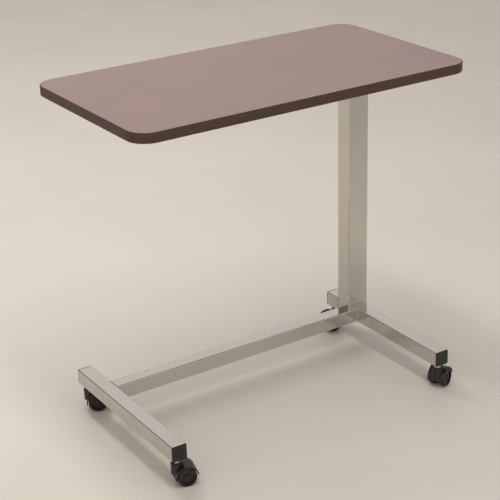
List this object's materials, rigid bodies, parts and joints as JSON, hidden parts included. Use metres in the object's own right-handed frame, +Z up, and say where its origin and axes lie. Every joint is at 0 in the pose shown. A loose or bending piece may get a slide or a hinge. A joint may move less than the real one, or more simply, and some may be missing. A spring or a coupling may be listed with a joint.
{
  "type": "overbed table",
  "caption": "Overbed table: rounded laminate top carried at one end by a telescopic chrome column on a low H-shaped base with swivel casters.",
  "frame": {"origin": "on the floor, under the middle of the tabletop", "axes": "+X along the long side towards the column end, +Y across the top towards the side where the column stands, +Z up"},
  "size_m": [0.764, 0.423, 0.7345],
  "materials": {
    "top_laminate": "satin brown laminate with a very fine speckle",
    "backing_sheet": "plain brown backing laminate",
    "core_board": "particle board, sawn",
    "edge_band": "dark brown moulded edging, satin",
    "chrome_tube": "bright chrome plate on drawn steel tube",
    "black_plastic": "moulded black polyethylene, fine grain",
    "caster_plastic": "moulded black nylon, slight gloss",
    "caster_wheel": "black nylon wheel, scuffed tread",
    "zinc_steel": "zinc plated steel",
    "rod_chrome": "ground and hard-chromed rod",
    "black_paint": "black powder coat",
    "guide_nylon": "dark nylon",
    "grip_vinyl": "dipped black vinyl"
  },
  "bodies": {
    "base": {"left_foot_tube": "chrome_tube", "right_foot_front_tube": "chrome_tube", "right_foot_rear_stub": "chrome_tube", "cross_bar_tube": "chrome_tube", "outer_column_tube": "chrome_tube", "column_base_plate": "zinc_steel", "column_collar": "guide_nylon", "foot_plug_front_left": "black_plastic", "foot_plug_front_right": "black_plastic", "foot_plug_rear_left": "black_plastic", "foot_plug_rear_right": "black_plastic", "gas_spring_cylinder": "black_paint", "gas_spring_guide": "zinc_steel", "gas_spring_foot_nut": "zinc_steel"},
    "carriage": {"tabletop_core": "core_board", "tabletop_laminate": "top_laminate", "tabletop_backing": "backing_sheet", "tabletop_edge_band": "edge_band", "inner_column_tube": "chrome_tube", "lower_glide_bush": "guide_nylon", "gas_spring_rod": "rod_chrome", "gas_spring_bridge": "zinc_steel", "gas_spring_head_nut": "zinc_steel", "support_channel": "black_paint", "support_arm_front": "black_paint", "support_arm_rear": "black_paint", "support_end_bar": "black_paint", "fixing_tabs": "black_paint", "frame_screws": "zinc_steel", "lever_pivot_pin": "zinc_steel"},
    "lever": {"release_lever": "zinc_steel", "lever_grip": "grip_vinyl"},
    "pin": {"release_pin": "zinc_steel"},
    "caster_front_left": {"caster_front_left_hood": "caster_plastic", "caster_front_left_stem": "zinc_steel", "caster_front_left_axle": "zinc_steel"},
    "wheel_front_left_a": {"caster_front_left_wheel_a": "caster_wheel"},
    "wheel_front_left_b": {"caster_front_left_wheel_b": "caster_wheel"},
    "caster_front_right": {"caster_front_right_hood": "caster_plastic", "caster_front_right_stem": "zinc_steel", "caster_front_right_axle": "zinc_steel"},
    "wheel_front_right_a": {"caster_front_right_wheel_a": "caster_wheel"},
    "wheel_front_right_b": {"caster_front_right_wheel_b": "caster_wheel"},
    "caster_rear_left": {"caster_rear_left_hood": "caster_plastic", "caster_rear_left_stem": "zinc_steel", "caster_rear_left_axle": "zinc_steel"},
    "wheel_rear_left_a": {"caster_rear_left_wheel_a": "caster_wheel"},
    "wheel_rear_left_b": {"caster_rear_left_wheel_b": "caster_wheel"},
    "caster_rear_right": {"caster_rear_right_hood": "caster_plastic", "caster_rear_right_stem": "zinc_steel", "caster_rear_right_axle": "zinc_steel"},
    "wheel_rear_right_a": {"caster_rear_right_wheel_a": "caster_wheel"},
    "wheel_rear_right_b": {"caster_rear_right_wheel_b": "caster_wheel"}
  },
  "joints": [
    {"name": "height", "type": "slide", "parent": "base", "child": "carriage", "axis": [0, 0, 1], "range_m": [0, 0.4]},
    {"name": "lever_squeeze", "type": "hinge", "parent": "carriage", "child": "lever", "pos_m": [0.349, 0.10505, 0.7015], "axis": [-1, 0, 0], "range_deg": [0, 4], "stiffness_Nm_per_rad": 1.5, "springref_deg": -6.88},
    {"name": "pin_press", "type": "slide", "parent": "carriage", "child": "pin", "axis": [0, 0, -1], "range_m": [0, 0.0025]},
    {"name": "swivel_front_left", "type": "hinge", "parent": "base", "child": "caster_front_left", "pos_m": [-0.325, -0.184, 0.0595], "axis": [0, 0, 1], "continuous": true},
    {"name": "roll_front_left_a", "type": "hinge", "parent": "caster_front_left", "child": "wheel_front_left_a", "pos_m": [-0.30906, -0.18827, 0.02], "axis": [0.2588, 0.9659, 0], "continuous": true},
    {"name": "roll_front_left_b", "type": "hinge", "parent": "caster_front_left", "child": "wheel_front_left_b", "pos_m": [-0.30906, -0.18827, 0.02], "axis": [0.2588, 0.9659, 0], "continuous": true},
    {"name": "swivel_front_right", "type": "hinge", "parent": "base", "child": "caster_front_right", "pos_m": [0.3385, -0.184, 0.0595], "axis": [0, 0, 1], "continuous": true},
    {"name": "roll_front_right_a", "type": "hinge", "parent": "caster_front_right", "child": "wheel_front_right_a", "pos_m": [0.35333, -0.17677, 0.02], "axis": [-0.4384, 0.8988, 0], "continuous": true},
    {"name": "roll_front_right_b", "type": "hinge", "parent": "caster_front_right", "child": "wheel_front_right_b", "pos_m": [0.35333, -0.17677, 0.02], "axis": [-0.4384, 0.8988, 0], "continuous": true},
    {"name": "swivel_rear_left", "type": "hinge", "parent": "base", "child": "caster_rear_left", "pos_m": [-0.325, 0.184, 0.0595], "axis": [0, 0, 1], "continuous": true},
    {"name": "roll_rear_left_a", "type": "hinge", "parent": "caster_rear_left", "child": "wheel_rear_left_a", "pos_m": [-0.3103, 0.17651, 0.02], "axis": [0.454, 0.891, 0], "continuous": true},
    {"name": "roll_rear_left_b", "type": "hinge", "parent": "caster_rear_left", "child": "wheel_rear_left_b", "pos_m": [-0.3103, 0.17651, 0.02], "axis": [0.454, 0.891, 0], "continuous": true},
    {"name": "swivel_rear_right", "type": "hinge", "parent": "base", "child": "caster_rear_right", "pos_m": [0.3385, 0.184, 0.0595], "axis": [0, 0, 1], "continuous": true},
    {"name": "roll_rear_right_a", "type": "hinge", "parent": "caster_rear_right", "child": "wheel_rear_right_a", "pos_m": [0.32204, 0.18515, 0.02], "axis": [-0.0698, -0.9976, 0], "continuous": true},
    {"name": "roll_rear_right_b", "type": "hinge", "parent": "caster_rear_right", "child": "wheel_rear_right_b", "pos_m": [0.32204, 0.18515, 0.02], "axis": [-0.0698, -0.9976, 0], "continuous": true}
  ],
  "couplings": [
    {"joint": "pin_press", "follows": "lever_squeeze", "m_per_rad": 0.03}
  ]
}
